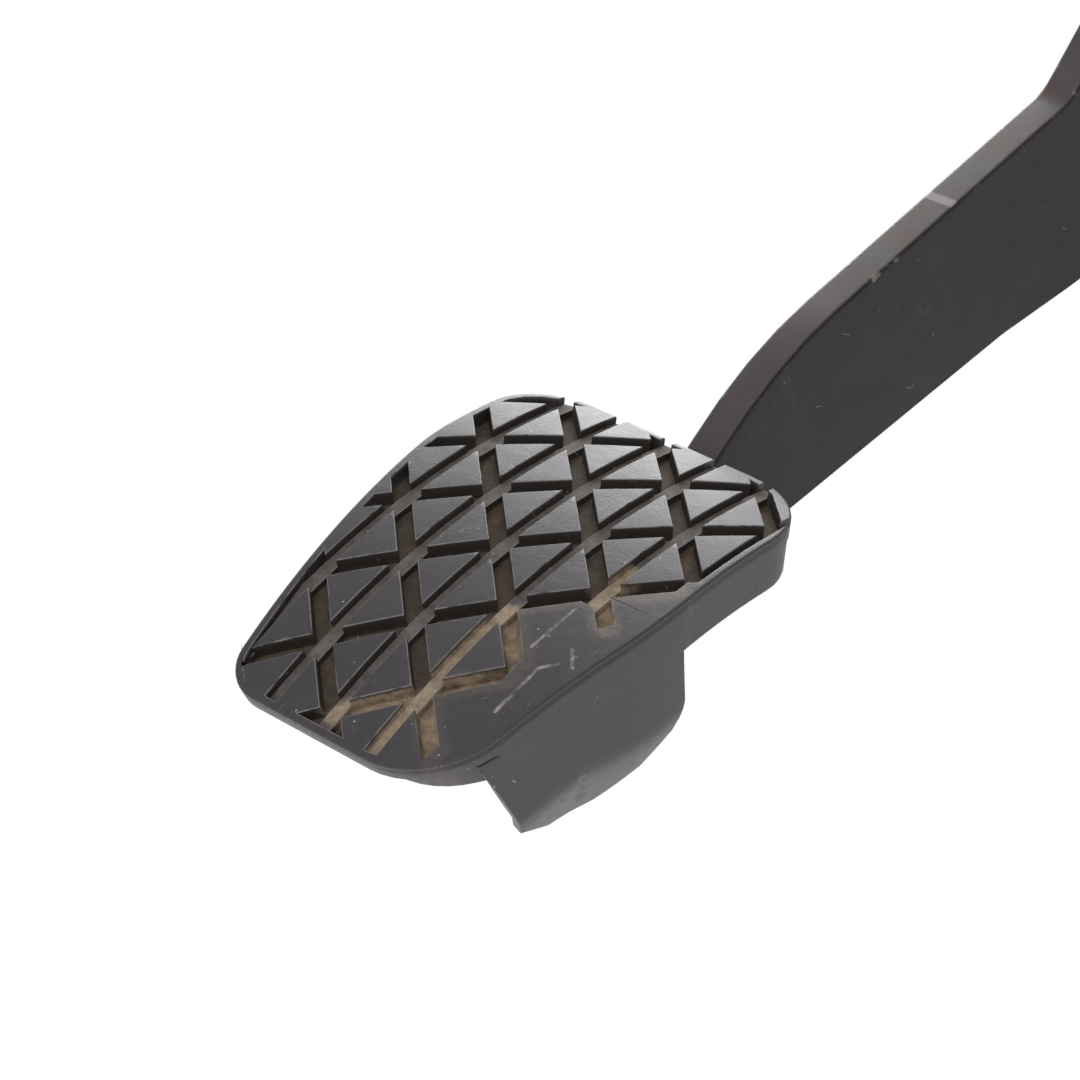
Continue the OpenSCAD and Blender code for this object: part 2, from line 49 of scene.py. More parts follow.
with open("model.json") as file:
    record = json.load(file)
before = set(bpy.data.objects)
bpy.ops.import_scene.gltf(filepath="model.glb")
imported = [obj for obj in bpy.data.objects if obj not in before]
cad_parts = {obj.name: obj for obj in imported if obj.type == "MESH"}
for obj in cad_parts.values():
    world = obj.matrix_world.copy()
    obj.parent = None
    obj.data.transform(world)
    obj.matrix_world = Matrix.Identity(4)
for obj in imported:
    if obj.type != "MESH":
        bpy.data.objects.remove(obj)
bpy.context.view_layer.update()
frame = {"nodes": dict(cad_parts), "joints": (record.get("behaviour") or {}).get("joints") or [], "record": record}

PIVOT = Vector(frame["joints"][0]["pos_m"])
BODY_OF = {n: body for body, names in frame["record"]["behaviour"]["bodies"].items() for n in names}

# Tread face laid flat: x to the right, y up the tread, in millimetres, and the radius of each corner
PAD_CORNERS = [
    (27.9, 21.1, 14.3), (-28.4, 20.9, 11), (-28.4, -4, 40),
    (-20.4, -59.3, 7), (20, -59.3, 15.5), (28.1, -20, 60),
]
# Edge of the strip on the right where the tread is worn away
WORN_EDGE = [
    (27.4, -8.2), (25.5, -9.6), (25.5, -12.4), (19, -18.7), (22.9, -22.7), (21.6, -25), (18.2, -21.6), (16, -21.6),
    (9.5, -27.9), (16.3, -34.6), (16.3, -40), (9.5, -46.4), (15.8, -52.6), (15.2, -55.5), (11.9, -57.7),
]


# Selecting and shaping

def put_down():
    """Leaves edit mode with nothing selected."""
    if bpy.context.object and bpy.context.object.mode != "OBJECT":
        bpy.ops.object.mode_set(mode="OBJECT")
    bpy.ops.object.select_all(action="DESELECT")


def take(obj):
    """Makes one object the selected and active one."""
    put_down()
    obj.select_set(True)
    bpy.context.view_layer.objects.active = obj
    return obj


def edit(obj, mode="VERT"):
    take(obj)
    bpy.ops.object.mode_set(mode="EDIT")
    bpy.ops.mesh.select_mode(type=mode)
    bpy.ops.mesh.select_all(action="SELECT")


def pick(obj, kind, test):
    """Selects in edit mode the vertices, edges or faces that pass a test, and counts them."""
    bpy.ops.mesh.select_mode(type={"verts": "VERT", "edges": "EDGE", "faces": "FACE"}[kind])
    bpy.ops.mesh.select_all(action="DESELECT")
    bm = bmesh.from_edit_mesh(obj.data)
    bm.normal_update()
    found = [item for item in getattr(bm, kind) if test(item)]
    for item in found:
        item.select_set(True)
    bm.select_flush_mode()
    bmesh.update_edit_mesh(obj.data)
    return len(found)


def extrude(x=0.0, y=0.0, z=0.0):
    bpy.ops.mesh.extrude_region_move(TRANSFORM_OT_translate={"value": (x, y, z)})


def slice_plane(co, no, **options):
    bpy.ops.mesh.bisect(plane_co=co, plane_no=Vector(no).normalized(), threshold=1e-7, **options)


def combine(obj, tool, operation):
    """Boolean that uses up its tool."""
    take(obj)
    boolean = obj.modifiers.new("cut", "BOOLEAN")
    boolean.operation = operation
    boolean.solver = "EXACT"
    boolean.object = tool
    bpy.ops.object.modifier_apply(modifier=boolean.name)
    bpy.data.objects.remove(tool)


def tidy(obj, distance=2e-6, angle=0.2):
    edit(obj)
    bpy.ops.mesh.remove_doubles(threshold=distance)
    bpy.ops.mesh.dissolve_limited(angle_limit=radians(angle), delimit={"MATERIAL"})
    bpy.ops.object.mode_set(mode="OBJECT")


def sharp(edge, angle=40):
    return len(edge.link_faces) == 2 and edge.calc_face_angle(0) > radians(angle)


def convex(edge, angle=40):
    return sharp(edge, angle) and edge.calc_face_angle_signed(0) > 0


# Node trees

class Tree:
    """Short way to add and wire shader nodes."""

    def __init__(self, tree):
        self.tree = tree
        self.column = 0

    def add(self, kind, settings=None, **inputs):
        node = self.tree.nodes.new("ShaderNode" + kind)
        self.column += 1
        node.location = (self.column * 180, (self.column % 4) * -160)
        for key, value in (settings or {}).items():
            setattr(node, key, value)
        for key, value in inputs.items():
            self.set(node, key, value)
        return node

    def set(self, node, key, value):
        name = key.replace("_", " ")
        socket = node.inputs[int(key[1:])] if key[0] == "i" and key[1:].isdigit() else node.inputs[name]
        if isinstance(value, bpy.types.NodeSocket):
            self.tree.links.new(value, socket)
        elif isinstance(value, bpy.types.Node):
            self.tree.links.new(value.outputs[0], socket)
        else:
            socket.default_value = value

    def math(self, operation, a, b=0.0, clamp=False):
        return self.add("Math", {"operation": operation, "use_clamp": clamp}, i0=a, i1=b).outputs[0]

    def ramp(self, value, low, high):
        return self.add("MapRange", {"clamp": True, "interpolation_type": "SMOOTHSTEP"},
                        Value=value, From_Min=low, From_Max=high).outputs[0]

    def mix(self, factor, a, b, blend="MIX"):
        node = self.add("Mix", {"data_type": "RGBA", "blend_type": blend})
        self.set(node, "i0", factor)
        self.set(node, "i6", a)
        self.set(node, "i7", b)
        return node.outputs[2]

    def use(self, group, **inputs):
        node = self.add("Group", {"node_tree": group})
        for key, value in inputs.items():
            self.set(node, key, value)
        return node


def new_group(name, inputs, outputs):
    """A shader node group with named inputs {name: (socket, default)} and outputs {name: socket}."""
    tree = bpy.data.node_groups.new(name, "ShaderNodeTree")
    for key, (kind, default) in inputs.items():
        socket = tree.interface.new_socket(key, in_out="INPUT", socket_type="NodeSocket" + kind)
        if default is not None:
            socket.default_value = default
    for key, kind in outputs.items():
        tree.interface.new_socket(key, in_out="OUTPUT", socket_type="NodeSocket" + kind)
    return tree, tree.nodes.new("NodeGroupInput"), tree.nodes.new("NodeGroupOutput"), Tree(tree)


def grain_group():
    """Two sizes of noise, as a colour factor and as a height."""
    tree, start, end, t = new_group(
        "surface grain", {"Vector": ("Vector", None), "Fine": ("Float", 2500.0), "Coarse": ("Float", 120.0)},
        {"Tone": "Float", "Height": "Float"})
    fine = t.add("TexNoise", Vector=start.outputs["Vector"], Scale=start.outputs["Fine"], Detail=3.0, Roughness=0.6)
    coarse = t.add("TexNoise", Vector=start.outputs["Vector"], Scale=start.outputs["Coarse"], Detail=5.0, Roughness=0.6)
    tone = t.math("ADD", t.math("MULTIPLY", fine.outputs[0], 0.4), t.math("MULTIPLY", coarse.outputs[0], 0.6))
    tree.links.new(tone, end.inputs["Tone"])
    tree.links.new(t.math("ADD", t.math("MULTIPLY", coarse.outputs[0], 0.7), t.math("MULTIPLY", fine.outputs[0], 0.3)),
                   end.inputs["Height"])
    return tree


def speck_group():
    """Scattered dust specks and short hairs, as a mask."""
    tree, start, end, t = new_group(
        "dust specks", {"Vector": ("Vector", None), "Density": ("Float", 1.0)}, {"Mask": "Float"})
    dots = t.add("TexVoronoi", Vector=start.outputs["Vector"], Scale=900.0)
    few = t.add("TexNoise", Vector=start.outputs["Vector"], Scale=160.0, Detail=2.0)
    near = t.math("LESS_THAN", dots.outputs["Distance"], 0.14)
    chance = t.math("LESS_THAN", t.add("SeparateColor", Color=dots.outputs["Color"]).outputs[0],
                    t.math("MULTIPLY", start.outputs["Density"], 0.06))
    patchy = t.ramp(few.outputs[0], 0.42, 0.62)
    hairs = None
    for turn, seed in ((0.5, 5.0), (-0.9, 13.0)):
        space = t.add("Mapping", Vector=start.outputs["Vector"], Rotation=(turn, turn * 0.6, turn * 1.7),
                      Location=(seed, seed, seed), Scale=(1.0, 0.16, 0.4))
        wave = t.add("TexNoise", Vector=space, Scale=520.0, Detail=1.0)
        line = t.ramp(t.math("ABSOLUTE", t.math("SUBTRACT", wave.outputs[0], 0.5)), 0.009, 0.003)
        some = t.add("TexNoise", Vector=t.add("Mapping", Vector=start.outputs["Vector"], Location=(seed, 0, seed)),
                     Scale=230.0, Detail=1.0)
        line = t.math("MULTIPLY", line, t.ramp(some.outputs[0], 0.7, 0.73))
        hairs = line if hairs is None else t.math("MAXIMUM", hairs, line)
    mask = t.math("MAXIMUM", t.math("MULTIPLY", t.math("MULTIPLY", near, chance), patchy),
                  t.math("MULTIPLY", hairs, 0.5))
    tree.links.new(mask, end.inputs["Mask"])
    return tree


def wear_group():
    """Breaks up an edge attribute so that wear comes and goes along it."""
    tree, start, end, t = new_group(
        "edge wear",
        {"Vector": ("Vector", None), "Edge": ("Float", 0.0), "Amount": ("Float", 0.5), "Scale": ("Float", 180.0)},
        {"Mask": "Float"})
    patches = t.add("TexNoise", Vector=start.outputs["Vector"], Scale=start.outputs["Scale"], Detail=6.0, Roughness=0.65)
    low = t.math("SUBTRACT", 0.85, t.math("MULTIPLY", start.outputs["Amount"], 0.7))
    mask = t.math("MULTIPLY", start.outputs["Edge"],
                  t.ramp(patches.outputs[0], low, t.math("ADD", low, 0.14)))
    tree.links.new(mask, end.inputs["Mask"])
    return tree


def scratch_group():
    """Thin scratches that run mostly one way, as a mask."""
    tree, start, end, t = new_group(
        "scratches", {"Vector": ("Vector", None), "Amount": ("Float", 0.5)}, {"Mask": "Float"})
    total = None
    for turn, seed in ((0.35, 3.0), (1.2, 9.0), (-0.6, 17.0)):
        space = t.add("Mapping", Vector=start.outputs["Vector"], Rotation=(turn, turn * 0.7, turn * 1.3),
                      Location=(seed, seed, seed), Scale=(1.0, 0.06, 0.6))
        lines = t.add("TexNoise", Vector=space, Scale=420.0, Detail=2.0, Roughness=0.4)
        thin = t.ramp(t.math("ABSOLUTE", t.math("SUBTRACT", lines.outputs[0], 0.5)), 0.006, 0.0)
        total = thin if total is None else t.math("MAXIMUM", total, thin)
    where = t.add("TexNoise", Vector=start.outputs["Vector"], Scale=45.0, Detail=3.0)
    mask = t.math("MULTIPLY", t.math("MULTIPLY", total, t.ramp(where.outputs[0], 0.5, 0.68)), start.outputs["Amount"])
    tree.links.new(mask, end.inputs["Mask"])
    return tree


def stroke_group():
    """Ragged stroke from one place on the flat tread to another, in millimetres, as a mask."""
    tree, start, end, t = new_group(
        "tread stroke",
        {"Flat": ("Vector", None), "From": ("Vector", (0, 0, 0)), "To": ("Vector", (1, 0, 0)),
         "Width": ("Float", 2.0), "Ragged": ("Float", 0.0)},
        {"Mask": "Float"})
    vector = {"operation": "SUBTRACT"}
    to_point = t.add("VectorMath", vector, i0=start.outputs["Flat"], i1=start.outputs["From"]).outputs[0]
    span = t.add("VectorMath", vector, i0=start.outputs["To"], i1=start.outputs["From"]).outputs[0]
    dot = {"operation": "DOT_PRODUCT"}
    part = t.math("DIVIDE", t.add("VectorMath", dot, i0=to_point, i1=span).outputs["Value"],
                  t.add("VectorMath", dot, i0=span, i1=span).outputs["Value"], clamp=True)
    nearest = t.add("VectorMath", {"operation": "SCALE"}, i0=span, Scale=part).outputs[0]
    off = t.add("VectorMath", vector, i0=to_point, i1=nearest).outputs[0]
    far = t.add("VectorMath", {"operation": "LENGTH"}, i0=off).outputs["Value"]
    far = t.math("ADD", far, start.outputs["Ragged"])
    mask = t.ramp(t.math("DIVIDE", far, start.outputs["Width"]), 1.2, 0.5)
    tree.links.new(mask, end.inputs["Mask"])
    return tree


def new_material(name):
    material = bpy.data.materials.new(name)
    material.use_nodes = True
    tree = material.node_tree
    t = Tree(tree)
    shader = tree.nodes["Principled BSDF"]
    where = t.add("TexCoord").outputs["Object"]
    return material, shader, where, t


GROUPS = {}


def groups():
    if not GROUPS:
        GROUPS.update(grain=grain_group(), specks=speck_group(), wear=wear_group(),
                      scratches=scratch_group(), stroke=stroke_group())
    return GROUPS


def bump(t, shader, height, strength, distance):
    node = t.add("Bump", Height=height)
    node.inputs["Strength"].default_value = strength
    node.inputs["Distance"].default_value = distance
    t.set(shader, "Normal", node.outputs[0])


def edge_attribute(t, name="finish"):
    return t.add("SeparateColor", Color=t.add("Attribute", {"attribute_name": name}).outputs["Color"])


def painted_steel(name, paint, settings, rust_and_lit_front=0.0, worn=0.5, rough=0.38, shine=0.3, nick=None):
    """Satin paint with orange peel, scuffs, grey worn edges and, where asked, rust tints, a painted lighter tone for
    the light on the front faces and a nick across the front.
    """
    g = groups()
    material, shader, where, t = new_material(name)
    grain = t.use(g["grain"], Vector=where, Fine=1800.0, Coarse=90.0)
    masks = edge_attribute(t)
    edge = t.use(g["wear"], Vector=where, Edge=masks.outputs[0], Amount=worn)
    scratch = t.use(g["scratches"], Vector=where, Amount=0.5)
    dust = t.use(g["specks"], Vector=where, Density=0.5)
    lighter = tuple(min(1.0, c * 1.6 + 0.006) for c in paint) + (1,)
    colour = t.mix(t.ramp(grain.outputs["Tone"], 0.35, 0.68), tuple(paint) + (1,), lighter)
    colour = t.mix(t.math("MULTIPLY", scratch.outputs[0], 0.5), colour, (0.11, 0.105, 0.1, 1))
    if rust_and_lit_front:
        # Painted light: the front faces get a lighter grey that stands in for the light on the arm's front edge
        colour = t.mix(masks.outputs[1], colour, t.mix(grain.outputs["Tone"], (0.045, 0.039, 0.041, 1), (0.12, 0.107, 0.112, 1)))
        blotch = t.add("TexNoise", Vector=where, Scale=150.0, Detail=6.0, Roughness=0.7)
        tint = t.math("MULTIPLY", t.ramp(blotch.outputs[0], 0.46, 0.66), masks.outputs[1])
        colour = t.mix(t.math("MULTIPLY", tint, rust_and_lit_front), colour, (0.1, 0.056, 0.045, 1))
    colour = t.mix(edge.outputs[0], colour, tuple(settings.worn_steel) + (1,))
    if nick:
        axis, along = nick
        place = t.add("VectorMath", {"operation": "DOT_PRODUCT"}, i0=where, i1=axis).outputs["Value"]
        off = t.math("ABSOLUTE", t.math("SUBTRACT", place, along))
        line = t.math("MULTIPLY", t.ramp(off, 0.0012, 0.0006), masks.outputs[1])
        colour = t.mix(t.math("MULTIPLY", line, 0.8), colour, (0.32, 0.28, 0.28, 1))
    colour = t.mix(t.math("MULTIPLY", dust.outputs[0], 0.5), colour, (0.4, 0.38, 0.35, 1))
    t.set(shader, "Base Color", colour)
    roughness = t.math("ADD", rough, t.math("MULTIPLY", grain.outputs["Tone"], 0.22))
    roughness = t.math("ADD", roughness, t.math("MULTIPLY", scratch.outputs[0], 0.15), clamp=True)
    t.set(shader, "Roughness", roughness)
    t.set(shader, "Metallic", t.math("MULTIPLY", edge.outputs[0], 0.5))
    shader.inputs["Specular IOR Level"].default_value = shine
    bump(t, shader, grain.outputs["Height"], 0.25, 0.0003)
    return material


def plated_steel(name, colour, rough):
    """Zinc plate: bright metal, faint spangle, a little grey bloom and dark in its scratches."""
    g = groups()
    material, shader, where, t = new_material(name)
    grain = t.use(g["grain"], Vector=where, Fine=1500.0, Coarse=140.0)
    scratch = t.use(g["scratches"], Vector=where, Amount=0.7)
    masks = edge_attribute(t)
    bloom = t.add("TexNoise", Vector=where, Scale=220.0, Detail=7.0, Roughness=0.7)
    dull = t.ramp(bloom.outputs[0], 0.52, 0.7)
    base = t.mix(t.ramp(grain.outputs["Tone"], 0.3, 0.7), tuple(c * 0.82 for c in colour) + (1,), tuple(colour) + (1,))
    base = t.mix(t.math("MULTIPLY", dull, 0.45), base, (0.32, 0.31, 0.29, 1))
    base = t.mix(t.math("MULTIPLY", masks.outputs[0], 0.35), base, (0.66, 0.66, 0.67, 1))
    base = t.mix(t.math("MULTIPLY", scratch.outputs[0], 0.5), base, (0.2, 0.19, 0.18, 1))
    t.set(shader, "Base Color", base)
    t.set(shader, "Metallic", t.math("SUBTRACT", 1.0, t.math("MULTIPLY", dull, 0.35)))
    t.set(shader, "Roughness", t.math("ADD", rough, t.math("MULTIPLY", grain.outputs["Tone"], 0.25), clamp=True))
    bump(t, shader, grain.outputs["Height"], 0.15, 0.0002)
    return material


def moulded_plastic(name, colour, rough):
    """Moulded part: even colour, faint mottle and a fine skin."""
    g = groups()
    material, shader, where, t = new_material(name)
    grain = t.use(g["grain"], Vector=where, Fine=2200.0, Coarse=160.0)
    dust = t.use(g["specks"], Vector=where, Density=0.8)
    masks = edge_attribute(t)
    base = t.mix(t.ramp(grain.outputs["Tone"], 0.35, 0.65), tuple(c * 0.78 for c in colour) + (1,), tuple(colour) + (1,))
    base = t.mix(t.math("MULTIPLY", masks.outputs[0], 0.3), base, tuple(min(1, c * 1.35 + 0.02) for c in colour) + (1,))
    base = t.mix(t.math("MULTIPLY", dust.outputs[0], 0.5), base, (0.45, 0.42, 0.38, 1))
    t.set(shader, "Base Color", base)
    t.set(shader, "Roughness", t.math("ADD", rough, t.math("MULTIPLY", grain.outputs["Tone"], 0.2), clamp=True))
    bump(t, shader, grain.outputs["Height"], 0.3, 0.0002)
    return material


# Dirt on the flat tread, in millimetres: from, to, width and how much of it lies outside the grooves
DIRT_STROKES = [
    ((9.5, -29), (16.4, -35.5), 2.4, 0.1), ((7.6, -46.4), (16.8, -38.6), 2.6, 0.12),
    ((8.5, -47.5), (16, -54), 2.4, 0.1), ((17.1, -20), (25.4, -12.4), 2.4, 0.25), ((18.6, -20.4), (22.4, -24), 2.2, 0.3),
    ((9.5, -27.9), (16, -21.6), 1.5, 0.2), ((7.6, -60), (7.6, -28), 1.9, 0), ((17.1, -38), (17.1, -12), 1.9, 0),
    ((-2, -55), (7.6, -46.4), 2.2, 0),
]
SCUFFS = [
    ((19.1, -44.1), (19.4, -38.3)), ((19.4, -38.3), (19.4, -35)), ((19.4, -35), (21.4, -32.9)),
    ((16, -32.3), (16.4, -23.3)), ((21.1, -29.6), (23.5, -32.5)),
]


def worn_rubber(settings):
    """Pad rubber: dark studs with pale worn edges, painted shade on the groove walls and under the rim, dusty floors,
    tan dirt low on the right, and a painted highlight on the flap's turned-in edge.
    """
    g = groups()
    material, shader, where, t = new_material("worn tread rubber")
    grain = t.use(g["grain"], Vector=where, Fine=2600.0, Coarse=150.0)
    marks = t.add("Attribute", {"attribute_name": "finish"})
    split = t.add("SeparateColor", Color=marks.outputs["Color"])
    below, edge, side = split.outputs[0], split.outputs[1], split.outputs[2]
    depth = t.math("MULTIPLY", below, t.math("SUBTRACT", 1.0, side))
    floor = marks.outputs["Alpha"]
    flat = t.add("UVMap", {"uv_map": "flat"})
    flat_mm = t.add("VectorMath", {"operation": "SCALE"}, i0=flat.outputs[0], Scale=100.0).outputs[0]
    ragged = t.add("TexNoise", Vector=where, Scale=380.0, Detail=6.0, Roughness=0.7)
    rag = t.math("MULTIPLY", t.math("SUBTRACT", ragged.outputs[0], 0.5), 4.0)

    top = tuple(settings.rubber) + (1,)
    shade = tuple(c * 0.78 for c in settings.rubber) + (1,)
    colour = t.mix(t.ramp(grain.outputs["Tone"], 0.34, 0.66), shade, top)

    # Groove walls get the darkest colour, painted shade in the recesses; shallow floors are pale with dust and deep
    # ones brown
    wall = t.math("MULTIPLY", t.ramp(depth, 0.02, 0.2), t.math("SUBTRACT", 1.0, floor))
    colour = t.mix(wall, colour, tuple(settings.groove) + (1,))
    deep = t.ramp(depth, 0.5, 0.7)
    dust_noise = t.add("TexNoise", Vector=where, Scale=520.0, Detail=5.0, Roughness=0.75)
    patchy = t.ramp(dust_noise.outputs[0], 0.36, 0.68)
    bed = t.mix(deep, tuple(settings.dust) + (1,), tuple(settings.silt) + (1,))
    bed = t.mix(patchy, t.mix(0.45, bed, tuple(settings.groove) + (1,)), bed)
    colour = t.mix(floor, colour, bed)
    low_wall = t.math("MULTIPLY", t.math("MULTIPLY", wall, t.ramp(depth, 0.45, 0.85)), patchy)
    colour = t.mix(t.math("MULTIPLY", low_wall, 0.6), colour, tuple(settings.silt) + (1,))

    # The skirt and the flap are greyer, with painted shade in a band under the rim
    colour = t.mix(t.math("MULTIPLY", side, 0.8), colour, tuple(settings.skirt) + (1,))
    rim_seam_shade = t.math("MULTIPLY", t.ramp(below, 0.12, 0.22), t.ramp(below, 0.62, 0.42))
    colour = t.mix(t.math("MULTIPLY", t.math("MULTIPLY", rim_seam_shade, side), 0.9), colour, tuple(settings.groove) + (1,))

    dirt = None
    for start, stop, width, outside in DIRT_STROKES:
        stroke = t.use(g["stroke"], Flat=flat_mm, From=(*start, 0), To=(*stop, 0), Width=width, Ragged=rag).outputs[0]
        kept = t.math("ADD", outside, t.math("MULTIPLY", t.ramp(depth, 0.04, 0.3), 1.0 - outside))
        stroke = t.math("MULTIPLY", stroke, t.math("MULTIPLY", kept, t.math("ADD", 0.45, t.math("MULTIPLY", patchy, 0.55))))
        dirt = stroke if dirt is None else t.math("MAXIMUM", dirt, stroke)
    colour = t.mix(t.math("MULTIPLY", dirt, 0.95), colour, tuple(settings.dirt) + (1,))

    # Pale scuffs in the worn strip
    for start, stop in SCUFFS:
        thin = t.math("MULTIPLY", rag, 0.12)
        scuff = t.use(g["stroke"], Flat=flat_mm, From=(*start, 0), To=(*stop, 0), Width=0.32, Ragged=thin).outputs[0]
        colour = t.mix(t.math("MULTIPLY", t.math("MULTIPLY", scuff, patchy), 0.7), colour, (0.42, 0.39, 0.35, 1))

    # Pale worn stud edges; on the flap the same mark paints a highlight over the turned-in lower edge
    worn = t.use(g["wear"], Vector=where, Edge=edge, Amount=0.72, Scale=300.0)
    colour = t.mix(t.math("MULTIPLY", worn.outputs[0], 0.7), colour, (0.26, 0.245, 0.235, 1))
    scratch = t.use(g["scratches"], Vector=where, Amount=0.7)
    colour = t.mix(t.math("MULTIPLY", scratch.outputs[0], 0.25), colour, (0.2, 0.19, 0.18, 1))
    specks = t.use(g["specks"], Vector=where, Density=1.6)
    colour = t.mix(t.math("MULTIPLY", specks.outputs[0], 0.7), colour, (0.5, 0.47, 0.43, 1))
    t.set(shader, "Base Color", colour)

    rough = t.math("ADD", settings.rubber_rough, t.math("MULTIPLY", grain.outputs["Tone"], 0.2))
    rough = t.math("ADD", rough, t.math("MULTIPLY", dirt, 0.2))
    rough = t.math("ADD", rough, t.math("MULTIPLY", t.ramp(depth, 0.02, 0.2), 0.3), clamp=True)
    t.set(shader, "Roughness", rough)
    t.set(shader, "Specular IOR Level", t.math("SUBTRACT", 0.32, t.math("MULTIPLY", t.ramp(depth, 0.02, 0.2), 0.2)))
    bump(t, shader, t.math("ADD", grain.outputs["Height"], t.math("MULTIPLY", ragged.outputs[0], 0.6)), 0.4, 0.00025)
    return material


# Pad

def rings(inset):
    """The pad's corners moved inwards, each with its radius, its turn and the length that its rounding takes."""
    count = len(PAD_CORNERS)
    points = [Vector((x, y)) for x, y, _ in PAD_CORNERS]
    result = []
    for i, point in enumerate(points):
        into = (point - points[i - 1]).normalized()
        out = (points[(i + 1) % count] - point).normalized()
        side_a, side_b = Vector((-into.y, into.x)), Vector((-out.y, out.x))
        moved = point + (side_a + side_b) * inset / (1 + side_a.dot(side_b))
        radius = max(PAD_CORNERS[i][2] - inset, 0.5)
        turn = acos(max(-1, min(1, into.dot(out))))
        result.append((moved, into, radius, turn, radius * tan(turn / 2)))
    return result


def outline(inset):
    """The pad's rounded outline moved inwards, as points."""
    points = []
    for moved, into, radius, turn, cut in rings(inset):
        start = moved - into * cut
        centre = start + Vector((-into.y, into.x)) * radius
        steps = max(1, round(turn / radians(14)))
        for k in range(steps + 1):
            points.append(centre + Matrix.Rotation(turn * k / steps, 2) @ (start - centre))
    return points


def pad_blank(name, inset, top, bottom):
    """Solid with the pad's rounded outline, between two heights, flat."""
    put_down()
    bpy.ops.mesh.primitive_circle_add(vertices=6, radius=0.03, fill_type="NGON", location=(0, 0, 0))
    blank = bpy.context.object
    blank.name = name
    ring = rings(inset)
    for vertex, (point, *_) in zip(blank.data.vertices, ring):
        vertex.co = (point.x / 1000, point.y / 1000, top / 1000)
    edit(blank)
    for point, *_, cut in ring:
        spot = Vector((point.x / 1000, point.y / 1000, top / 1000))
        pick(blank, "verts", lambda v: (v.co - spot).length < 1e-6)
        bpy.ops.mesh.bevel(affect="VERTICES", offset_type="ABSOLUTE", offset=cut / 1000, segments=10 if cut > 4 else 5)
    bpy.ops.mesh.select_all(action="SELECT")
    extrude(z=(bottom - top) / 1000)
    bpy.ops.mesh.select_all(action="SELECT")
    bpy.ops.mesh.normals_make_consistent(inside=False)
    return blank


def inside(point, polygon):
    hit = False
    for i, (x1, y1) in enumerate(polygon):
        x2, y2 = polygon[i - 1]
        if (y1 > point.y) != (y2 > point.y) and point.x < (x2 - x1) * (point.y - y1) / (y2 - y1) + x1:
            hit = not hit
    return hit


def patterned(point, rim_line, open_above=False):
    """Whether a place on the flat face carries the tread: inside the rim, or above it, and not in the worn strip."""
    worn = [Vector(p) for p in WORN_EDGE + [(0, -120), (60, -120), (60, WORN_EDGE[0][1])]]
    if inside(point, worn):
        return False
    return inside(point, rim_line) or (open_above and point.y > 5 and abs(point.x) < max(p.x for p in rim_line))


def groove_cutter(settings):
    """All grooves of the tread as one solid: deep diagonal ones, bridged by the floors of the shallow upright ones."""
    pitch = settings.groove_pitch * 1000
    row = settings.groove_row * 1000
    shift = settings.groove_shift * 1000
    rim_line = outline(settings.rim * 1000)
    put_down()
    bpy.ops.mesh.primitive_plane_add(size=0.1, location=(0, -0.02, 0.001))
    cutter = bpy.context.object
    cutter.name = "groove_cutter"
    for vertex in cutter.data.vertices:
        vertex.co.z += 0.001
        vertex.co.y -= 0.02
    cutter.location = (0, 0, 0)
    edit(cutter)
    slant = atan2(row, pitch)
    families = [
        (Vector((sin(slant), -cos(slant), 0)), 2 * pitch * sin(slant), settings.diagonal_width * 500),
        (Vector((sin(slant), cos(slant), 0)), 2 * pitch * sin(slant), settings.diagonal_width * 500),
        (Vector((1, 0, 0)), pitch, settings.upright_width * 500),
    ]
    for normal, step, half in families:
        for k in range(-8, 9):
            middle = Vector((shift, 0, 0)) + normal * k * step
            for side in (-half, half):
                bpy.ops.mesh.select_all(action="SELECT")
                slice_plane((middle + normal * side) / 1000, normal)
    flank = max(p.x for p in rim_line)
    lines = [(p, rim_line[i - 1]) for i, p in enumerate(rim_line)]
    lines += [(Vector(p), Vector(q)) for p, q in zip(WORN_EDGE, WORN_EDGE[1:])]
    lines += [(Vector((side * flank, 4)), Vector((side * flank, 40))) for side in (-1, 1)]
    for a, b in lines:
        along = (b - a).normalized()
        length = (b - a).length

        def close(face):
            centre = face.calc_center_median().xy * 1000
            t = max(0, min(length, (centre - a).dot(along)))
            return (centre - a - along * t).length < 7

        pick(cutter, "faces", close)
        slice_plane((a.x / 1000, a.y / 1000, 0), (-along.y, along.x, 0))

    def level(face):
        centre = face.calc_center_median() * 1000
        near = []
        for normal, step, half in families:
            across = (centre - Vector((shift, 0, centre.z))).dot(normal) % step
            near.append(min(across, step - across) < half)
        if near[2]:
            return int(patterned(centre, rim_line, True))
        return 2 * int(any(near) and patterned(centre, rim_line))

    bm = bmesh.from_edit_mesh(cutter.data)
    for face in bm.faces:
        face.material_index = level(face)
    bmesh.update_edit_mesh(cutter.data)
    pick(cutter, "faces", lambda f: f.material_index == 0)
    bpy.ops.mesh.delete(type="FACE")
    bpy.ops.mesh.select_all(action="SELECT")
    extrude(z=-0.001 - settings.upright_depth)
    floor = -settings.upright_depth
    pick(cutter, "faces", lambda f: f.material_index == 2 and abs(f.calc_center_median().z - floor) < 1e-6
         and abs(f.normal.z) > 0.9)
    extrude(z=settings.upright_depth - settings.diagonal_depth)
    bpy.ops.mesh.select_all(action="SELECT")
    bpy.ops.mesh.normals_make_consistent(inside=False)
    return cutter


def tuck(vertices, amount):
    """Moves the skirt's bottom end back under the bead."""
    for vertex in vertices:
        if vertex.co.y < -0.044:
            vertex.co.y += amount * min(1, (-0.044 - vertex.co.y) / 0.009)


